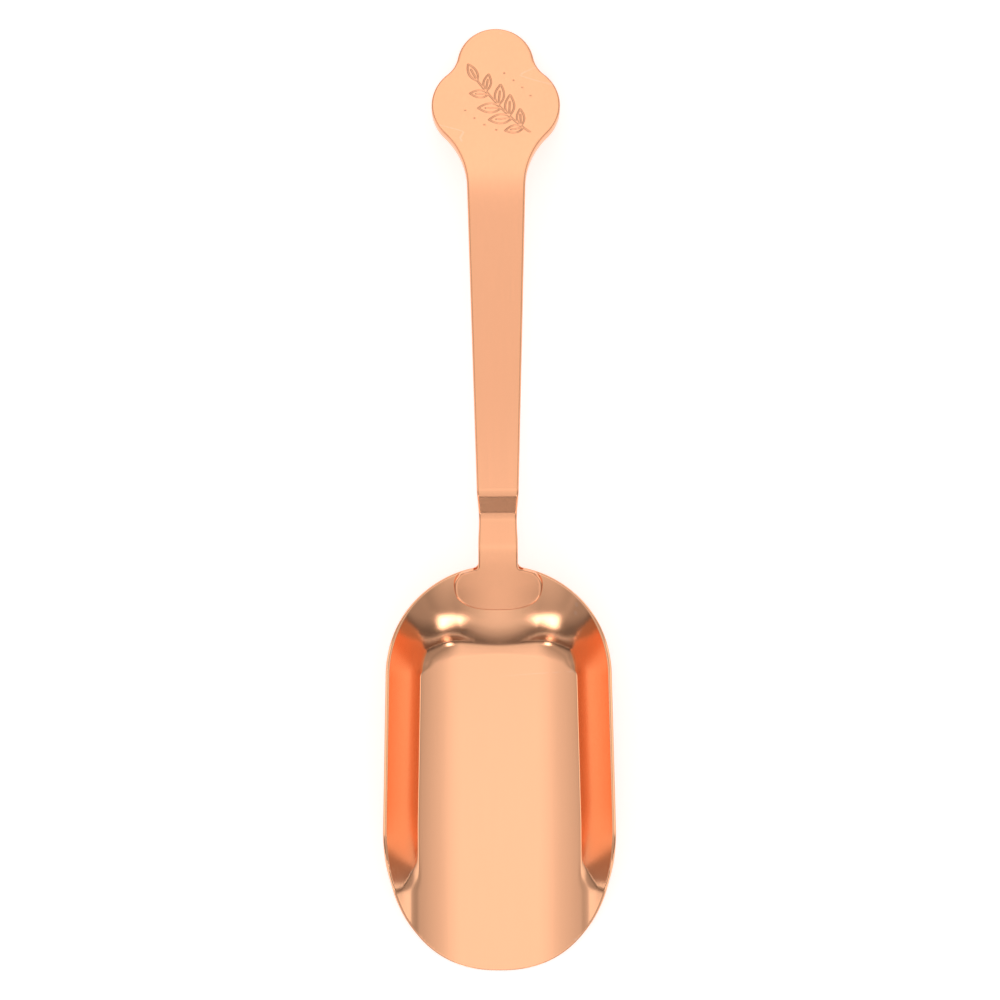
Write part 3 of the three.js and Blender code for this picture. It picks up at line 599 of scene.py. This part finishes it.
def dot_stroke(x, y):
    return np.array([[x, y], [x + DOT_LENGTH, y]])


def sprig_strokes():
    stem = bend_curve(*STEM, STEM_POINTS)
    strokes = [stem]
    for place, side, length in SPRIG_LEAVES:
        index = int(place * (STEM_POINTS - 1))
        run_x, run_y = stem[index + 1] - stem[index]
        heading = math.degrees(math.atan2(run_y, run_x))
        strokes += leaf_strokes(stem[index], heading + side * LEAF_TURN, length, length * LEAF_WIDTH)
    strokes += leaf_strokes(stem[-1], *END_LEAF)
    strokes += [dot_stroke(x, y) for x, y in SPRIG_DOTS]
    return strokes


# A leaf's place along the stem, the side it grows on, and its length. The end leaf has its heading first.
STEM = ((6.2, 67.2), (1.8, 70.2), (-3.4, 77.2))
STEM_POINTS = 40
SPRIG_LEAVES = [(0.14, 1, 3.4), (0.2, -1, 3.2), (0.36, 1, 4.2), (0.42, -1, 4.0),
                (0.58, 1, 4.2), (0.64, -1, 4.0), (0.8, 1, 3.4), (0.86, -1, 3.3)]
END_LEAF = (118, 3.6, 1.5)
LEAF_TURN = 48
LEAF_WIDTH = 0.42
LEAF_BELLY = 0.42
VEIN_LENGTH = 0.68
SPRIG_DOTS = [(-5.6, 71.4), (-3.9, 69.9), (-2.1, 68.6), (0.1, 67.6),
              (1.6, 78.6), (3.3, 77.2), (4.9, 75.8), (6.4, 74.2)]
DOT_LENGTH = 0.01
GROOVE_HALF_WIDTH = 0.17
GROOVE_DEPTH = 0.08


def engraving_depth(x, y):
    """Depth of the engraving at plan points: a rounded groove along every stroke."""
    nearest = np.full(x.shape, 9.0)
    for stroke in sprig_strokes():
        for start, end in zip(stroke[:-1], stroke[1:]):
            run = end - start
            share = np.clip(((x - start[0]) * run[0] + (y - start[1]) * run[1]) / (run @ run), 0, 1)
            gap = np.hypot(x - start[0] - share * run[0], y - start[1] - share * run[1])
            nearest = np.minimum(nearest, gap)
    inside = np.clip(nearest / GROOVE_HALF_WIDTH, 0, 1)
    return GROOVE_DEPTH * (1 - inside ** 2) ** 2


# ---------- handle ----------
OUTLINE_STEP = 0.06
OUTLINE_SOFTENING = 5
HANDLE_COLUMNS = 40
FINE_FACTOR = 6
FINE_START_Y, FINE_END_Y = 66.0, 80.6
FINE_STEP = 0.095


def handle_stations(first, last):
    """Places of the handle's rows: close together at the round ends, the corner and the bends."""
    quarter = math.pi / 2
    stretches = [
        lerp(first, TONGUE_MIDDLE_Y, 1 - np.cos(np.linspace(0, quarter, 36))),
        np.linspace(TONGUE_MIDDLE_Y, CORNER_START_Y - 0.8, 16),
        np.linspace(CORNER_START_Y - 0.8, CORNER_END_Y + 0.5, 34),
        np.linspace(CORNER_END_Y + 0.5, JOGGLE_FOOT_Y, 30),
        np.linspace(JOGGLE_FOOT_Y, JOGGLE_TOP_Y + 0.6, 90),
        np.linspace(JOGGLE_TOP_Y + 0.6, KNEE_START_Y - 1, 60),
        np.linspace(KNEE_START_Y - 1, FINE_START_Y, 40),
        np.linspace(FINE_START_Y, FINE_END_Y, int((FINE_END_Y - FINE_START_Y) / FINE_STEP) + 1),
        lerp(FINE_END_Y, last, np.sin(np.linspace(0, quarter, 60))),
    ]
    return np.concatenate([stretches[0]] + [stretch[1:] for stretch in stretches[1:]])


def layer_rows(stations, half_widths, fine):
    """Plan points of one face, row by row, with more columns where the engraving is."""
    rows = []
    for y, half in zip(stations, half_widths):
        is_fine = fine and FINE_START_Y <= y <= FINE_END_Y
        columns = HANDLE_COLUMNS * (FINE_FACTOR if is_fine else 1)
        x = np.linspace(-half, half, columns + 1)
        rows.append(np.column_stack([x, np.full_like(x, y)]))
    return rows


def row_faces(starts, sizes, flip):
    """Faces between rows of unlike length: where the count changes, one face takes several columns."""
    faces = []
    for row in range(len(sizes) - 1):
        near, far = sizes[row] - 1, sizes[row + 1] - 1
        cells = min(near, far)
        for cell in range(cells):
            low = [starts[row] + i for i in range(cell * near // cells, (cell + 1) * near // cells + 1)]
            high = [starts[row + 1] + i for i in range(cell * far // cells, (cell + 1) * far // cells + 1)]
            face = low + high[::-1]
            faces.append(face[::-1] if flip else face)
    return faces


def make_handle():
    outline_y, outline_x = moved_in_outline(HANDLE_EDGE)
    stations = handle_stations(outline_y[0], outline_y[-1])
    half_widths = np.interp(stations, outline_y, outline_x)
    half_widths[[0, -1]] = 0
    points, faces, edges = [], [], []
    for which, fine in ((0, True), (1, False)):
        rows = layer_rows(stations, half_widths, fine)
        sizes = [len(row) for row in rows]
        starts = list(len(points) + np.concatenate([[0], np.cumsum(sizes[:-1])]))
        plan = np.concatenate(rows)
        layer = strip_layers(plan[:, 0], plan[:, 1])[which]
        if fine:
            layer[:, 2] -= engraving_depth(plan[:, 0], plan[:, 1])
        points.extend(layer)
        faces += row_faces([int(start) for start in starts], sizes, flip=which == 1)
        right = [int(start) + size - 1 for start, size in zip(starts, sizes)]
        left = [int(start) for start in starts[-2:0:-1]]
        edges.append(right + left)
    upper = np.array([points[i] for i in edges[0]])
    lower = np.array([points[i] for i in edges[1]])
    tangent = unit(np.roll(upper, -1, 0) - np.roll(upper, 1, 0))
    outward = unit(np.cross(tangent, unit(upper - lower)))
    previous = edges[0]
    for ring in edge_rings(upper, lower, outward, HANDLE_EDGE, EDGE_STEPS):
        here = list(range(len(points), len(points) + len(ring)))
        points.extend(ring)
        faces += ring_faces(previous, here)
        previous = here
    faces += ring_faces(previous, edges[1])
    return mesh_object("handle_strip", points, faces)


# ---------- braze ----------
BEAD_LEG = 1.1
BEAD_SINK = 0.06
BEAD_SIDE_DROP = 0.75
BEAD_SIDE_HEIGHT = 1.6
BEAD_UNDER_HALF_LENGTH = 3.4
BEAD_UNDER_LIFT = 0.35
BEAD_UNDER_BACK_LEG = (0, 1.0, 0.1)
BEAD_UNDER_DOWN_LEG = (0, 0, -0.9)


def bead_object(name, corner, leg_a, leg_b, run, count=18):
    """A corner bead with a hollow face: legs from the corner, tapering away at both ends of its run."""
    corner, leg_a, leg_b, run = map(np.array, (corner, leg_a, leg_b, run))
    points, faces = [], []
    arc = np.linspace(0, math.pi / 2, 9)
    size = len(arc) + 1
    for step in range(count + 1):
        along = step / count
        scale = max(0.05, 1 - abs(2 * along - 1) ** 5) ** 0.5
        base = corner + run * along
        points.append(base)
        for turn in arc:
            points.append(base + scale * (leg_a * (1 - math.sin(turn)) + leg_b * (1 - math.cos(turn))))
    for step in range(count):
        for place in range(size):
            here, after = step * size + place, step * size + (place + 1) % size
            faces.append((here, after, after + size, here + size))
    faces.append(tuple(range(size)))
    faces.append(tuple(range(count * size, (count + 1) * size))[::-1])
    return mesh_object(name, points, faces)


def rim_back_y(x):
    """Y of the bowl's outer edge behind the neck."""
    reach = (1 - (abs(x) / BACK_HALF_WIDTH) ** BACK_ROUNDNESS) ** (1 / BACK_ROUNDNESS)
    return BACK_ARC_Y + (RIM_BACK_Y - BACK_ARC_Y) * reach + BOWL_SHEET * math.sin(RIM_ANGLE_NECK)


def make_beads():
    edge_y = rim_back_y(NECK_HALF_WIDTH) - BEAD_SINK
    drop = rim_back_y(NECK_HALF_WIDTH + BEAD_LEG) - rim_back_y(NECK_HALF_WIDTH)
    beads = []
    for name, side in (("braze_left_bead", -1), ("braze_right_bead", 1)):
        corner = (side * (NECK_HALF_WIDTH - BEAD_SINK), edge_y, SEAT_Z - BEAD_SIDE_DROP)
        beads.append(bead_object(name, corner, (side * BEAD_LEG, drop, 0), (0, BEAD_LEG, 0),
                                 (0, 0, BEAD_SIDE_HEIGHT)))
    under = (-BEAD_UNDER_HALF_LENGTH, rim_back_y(0) - BEAD_SINK, SEAT_Z - CAD_GAP + BEAD_UNDER_LIFT)
    beads.append(bead_object("braze_under_bead", under, BEAD_UNDER_BACK_LEG, BEAD_UNDER_DOWN_LEG,
                             (2 * BEAD_UNDER_HALF_LENGTH, 0, 0)))
    return beads


# ---------- node helpers ----------
def add_node(tree, kind, inputs=None, **settings):
    """A node with its settings, and its inputs linked to outputs or set to values."""
    node = tree.nodes.new(kind)
    for name, value in settings.items():
        setattr(node, name, value)
    for name, value in (inputs or {}).items():
        if isinstance(value, bpy.types.NodeSocket):
            tree.links.new(value, node.inputs[name])
        else:
            node.inputs[name].default_value = value
    return node


def math_out(tree, operation, a, b=0.0, clamp=False):
    return add_node(tree, "ShaderNodeMath", {0: a, 1: b}, operation=operation, use_clamp=clamp).outputs[0]


def ramp_out(tree, value, stops, interpolation="EASE"):
    """A grey ramp through stops of place and level."""
    node = add_node(tree, "ShaderNodeValToRGB", {"Fac": value})
    ramp = node.color_ramp
    ramp.interpolation = interpolation
    while len(ramp.elements) < len(stops):
        ramp.elements.new(0.5)
    for element, (place, level) in zip(ramp.elements, stops):
        element.position = place
        element.color = (level, level, level, 1)
    return node.outputs["Color"]


def mix_colour(tree, share, first, second, blend="MIX"):
    node = tree.nodes.new("ShaderNodeMix")
    node.data_type = "RGBA"
    node.blend_type = blend
    for socket, value in zip((node.inputs[0], node.inputs[6], node.inputs[7]), (share, first, second)):
        if isinstance(value, bpy.types.NodeSocket):
            tree.links.new(value, socket)
        else:
            socket.default_value = value
    return node.outputs[2]


# ---------- materials ----------
def noise_out(tree, coordinates, scale, stretch, detail=3.0, place=(0, 0, 0)):
    mapping = add_node(tree, "ShaderNodeMapping",
                       {"Vector": coordinates, "Scale": stretch, "Location": place})
    noise = add_node(tree, "ShaderNodeTexNoise",
                     {"Vector": mapping.outputs[0], "Scale": scale, "Detail": detail, "Roughness": 0.55})
    return noise.outputs[0]


EDGE_WEAR = 0.35


def rose_gold(name, tint, shade, roughness, spread, grain):
    """Plated metal with fine lengthwise brushing, cloudy gloss and slightly rubbed edges."""
    material = bpy.data.materials.new(name)
    material.use_nodes = True
    tree = material.node_tree
    shader = tree.nodes["Principled BSDF"]
    place = add_node(tree, "ShaderNodeTexCoord").outputs["Object"]
    hair = noise_out(tree, place, 1.0, (9000, 260, 9000), 2.0)
    brush = noise_out(tree, place, 1.0, (2600, 60, 2600), 3.0, (3, 1, 2))
    cloud = noise_out(tree, place, 1.0, (110, 60, 110), 3.0, (7, 5, 1))
    edge = ramp_out(tree, add_node(tree, "ShaderNodeNewGeometry").outputs["Pointiness"],
                    [(0.0, 0.0), (0.535, 0.0), (0.58, 1.0)], "LINEAR")
    colour = mix_colour(tree, cloud, (*shade, 1), (*tint, 1))
    worn = tuple(lerp(value, 0.9, 0.25) for value in tint)
    colour = mix_colour(tree, math_out(tree, "MULTIPLY", edge, EDGE_WEAR), colour, (*worn, 1))
    tree.links.new(colour, shader.inputs["Base Color"])
    shader.inputs["Metallic"].default_value = 1.0
    gloss = math_out(tree, "ADD", math_out(tree, "MULTIPLY", brush, spread), roughness - spread / 2)
    clouded = math_out(tree, "MULTIPLY", math_out(tree, "SUBTRACT", cloud, 0.5), spread)
    gloss = math_out(tree, "ADD", gloss, clouded)
    tree.links.new(gloss, shader.inputs["Roughness"])
    height = math_out(tree, "ADD", math_out(tree, "MULTIPLY", hair, 0.5), brush)
    bump = add_node(tree, "ShaderNodeBump", {"Height": height, "Strength": grain, "Distance": 0.00002})
    tree.links.new(bump.outputs[0], shader.inputs["Normal"])
    return material


# ---------- world, floor and camera ----------
SKY_LEVEL = 1.46
# Angles in degrees from straight up: to the left and right across the spoon, and to its ends.
ACROSS_LEVELS = [(-90, 0.5), (-78, 0.9), (-68, 1.0), (-52, 1.0), (-42, 0.5), (-30, 0.42), (-21, 0.54),
                 (-12, 0.68), (-4, 0.92), (0, 1.0), (4, 0.92), (12, 0.66), (21, 0.48), (30, 0.34), (42, 0.4),
                 (52, 1.0), (68, 1.0), (78, 0.9), (90, 0.5)]
ALONG_LEVELS = [(-90, 0.16), (-82, 0.21), (-76, 0.43), (-69, 0.67), (-36, 0.72), (-20, 0.76), (-9, 0.86),
                (0, 0.86), (4, 0.74), (12, 0.69), (22, 0.73), (36, 1.0), (63, 1.0), (90, 0.52)]
# What the bright sides lose beyond their ends, which lie where a direction's Y part passes this reach.
BOX_LEVELS = [(-90, 0.1), (-78, 0.5), (-68, 0.62), (-52, 0.62), (-42, 0.0), (42, 0.0), (52, 0.62),
              (68, 0.62), (78, 0.5), (90, 0.1)]
BOX_REACH = (0.26, 0.36)
LAMP_LEVEL = 3.2
LAMP_ANGLES = (70, 75, 80)
LAMP_TURN = 13
LAMP_EDGE = (5, 1)
LENS_TOWARDS = (0, 0.035, 1)
LENS_SPOT = 0.12
LENS_EDGE = (7, 2)


def angle_levels(tree, sideways, upward, levels):
    """Light level by the angle from straight up, read off a ramp from -90 to 90 degrees."""
    place = math_out(tree, "DIVIDE", math_out(tree, "ARCTAN2", sideways, upward), math.pi)
    stops = [(angle / 180 + 0.5, level) for angle, level in levels]
    return ramp_out(tree, math_out(tree, "ADD", place, 0.5), stops)


def share_out(tree, value, low, high):
    """0 below a low value, 1 above a high one, and a smooth step between."""
    return add_node(tree, "ShaderNodeMapRange", {"Value": value, "From Min": low, "From Max": high},
                    interpolation_type="SMOOTHSTEP").outputs[0]


def spot_level(tree, direction, towards, edges):
    """1 inside a round spot of sky and 0 outside it, with a soft edge between two angles."""
    dot = add_node(tree, "ShaderNodeVectorMath", {0: direction, 1: towards}, operation="DOT_PRODUCT")
    outer, inner = (math.cos(edge * DEG) for edge in edges)
    return share_out(tree, dot.outputs["Value"], outer, inner)


def make_world():
    """A soft studio tent: a bright ceiling, bright sides with dim gaps between, and two lamps in front."""
    world = bpy.data.worlds.new("studio")
    bpy.context.scene.world = world
    world.use_nodes = True
    tree = world.node_tree
    tree.nodes.clear()
    direction = add_node(tree, "ShaderNodeTexCoord").outputs["Generated"]
    axes = add_node(tree, "ShaderNodeSeparateXYZ", {0: direction}).outputs
    upward = math_out(tree, "MAXIMUM", axes[2], 0.001)
    across = angle_levels(tree, axes[0], upward, ACROSS_LEVELS)
    along = angle_levels(tree, axes[1], upward, ALONG_LEVELS)
    box = angle_levels(tree, axes[0], upward, BOX_LEVELS)
    beyond = share_out(tree, math_out(tree, "ABSOLUTE", axes[1]), *BOX_REACH)
    across = math_out(tree, "SUBTRACT", across, math_out(tree, "MULTIPLY", box, beyond))
    level = math_out(tree, "MULTIPLY", math_out(tree, "MULTIPLY", across, along), SKY_LEVEL)
    lens = spot_level(tree, direction, Vector(LENS_TOWARDS).normalized(), LENS_EDGE)
    kept = math_out(tree, "SUBTRACT", 1.0, math_out(tree, "MULTIPLY", lens, LENS_SPOT))
    level = math_out(tree, "MULTIPLY", level, kept)
    across_lamp, towards_lip = math.sin(LAMP_TURN * DEG), math.cos(LAMP_TURN * DEG)
    for side in (-1, 1):
        for angle in LAMP_ANGLES:
            flat, high = math.sin(angle * DEG), math.cos(angle * DEG)
            towards = (side * flat * across_lamp, -flat * towards_lip, high)
            lamp = spot_level(tree, direction, towards, LAMP_EDGE)
            level = math_out(tree, "ADD", level, math_out(tree, "MULTIPLY", lamp, LAMP_LEVEL))
    tent = add_node(tree, "ShaderNodeBackground", {"Color": level})
    plain = add_node(tree, "ShaderNodeBackground", {"Color": (0.95, 0.95, 0.95, 1)})
    seen = add_node(tree, "ShaderNodeLightPath").outputs["Is Camera Ray"]
    mixed = add_node(tree, "ShaderNodeMixShader", {0: seen, 1: tent.outputs[0], 2: plain.outputs[0]})
    add_node(tree, "ShaderNodeOutputWorld", {"Surface": mixed.outputs[0]})


FLOOR_HALF_SIZE = 1.5
FLOOR_GLOW = 0.5


def make_floor():
    mesh = bpy.data.meshes.new("floor")
    far = FLOOR_HALF_SIZE
    mesh.from_pydata([(-far, -far, 0), (far, -far, 0), (far, far, 0), (-far, far, 0)], [], [(0, 1, 2, 3)])
    floor = bpy.data.objects.new("floor", mesh)
    bpy.context.scene.collection.objects.link(floor)
    material = bpy.data.materials.new("pale_table")
    material.use_nodes = True
    shader = material.node_tree.nodes["Principled BSDF"]
    shader.inputs["Base Color"].default_value = (0.86, 0.86, 0.86, 1)
    shader.inputs["Roughness"].default_value = 0.9
    shader.inputs["Specular IOR Level"].default_value = 0.0
    shader.inputs["Emission Color"].default_value = (1, 1, 1, 1)
    shader.inputs["Emission Strength"].default_value = FLOOR_GLOW
    mesh.materials.append(material)


CAMERA_X = 0.0004
CAMERA_HEIGHT = 0.5
VIEW_WIDTH = 0.1862
CAMERA_ROLL = -0.3 * DEG
SENSOR = 36.0


def make_camera():
    data = bpy.data.cameras.new("camera")
    data.sensor_width = SENSOR
    data.lens = SENSOR * CAMERA_HEIGHT / VIEW_WIDTH
    camera = bpy.data.objects.new("camera", data)
    camera.location = (CAMERA_X, 0, CAMERA_HEIGHT)
    camera.rotation_euler = (0, 0, CAMERA_ROLL)
    bpy.context.scene.collection.objects.link(camera)
    bpy.context.scene.camera = camera


# ---------- build ----------
TINT = (1.0, 0.48, 0.27)
SHADE = (0.97, 0.455, 0.25)
# The bowl's colours are a lighter copy of the handle's plating: painted light, raised to match how bright
# the bowl's floor looks.
BOWL_BRIGHTER_TINT = (1.0, 0.51, 0.295)
BOWL_BRIGHTER_SHADE = (0.97, 0.485, 0.275)


def place_piece(piece, node, material):
    piece.data.materials.append(material)
    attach(piece, "root")
    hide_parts(node)


bpy.context.scene.view_settings.view_transform = "Standard"
make_world()
make_floor()
make_camera()
# The bowl gets the lighter copy of the plating colours, which is painted light.
bowl_plating = rose_gold("bowl_plating", BOWL_BRIGHTER_TINT, BOWL_BRIGHTER_SHADE, roughness=0.16, spread=0.05, grain=0.12)
handle_plating = rose_gold("handle_plating", TINT, SHADE, roughness=0.22, spread=0.07, grain=0.25)
place_piece(make_bowl(), "bowl", bowl_plating)
place_piece(make_handle(), "handle", handle_plating)
for bead, node in zip(make_beads(), ("braze_left", "braze_right", "braze_under")):
    bead_plating = rose_gold(node + "_plating", TINT, SHADE, roughness=0.3, spread=0.08, grain=0.3)
    place_piece(bead, node, bead_plating)
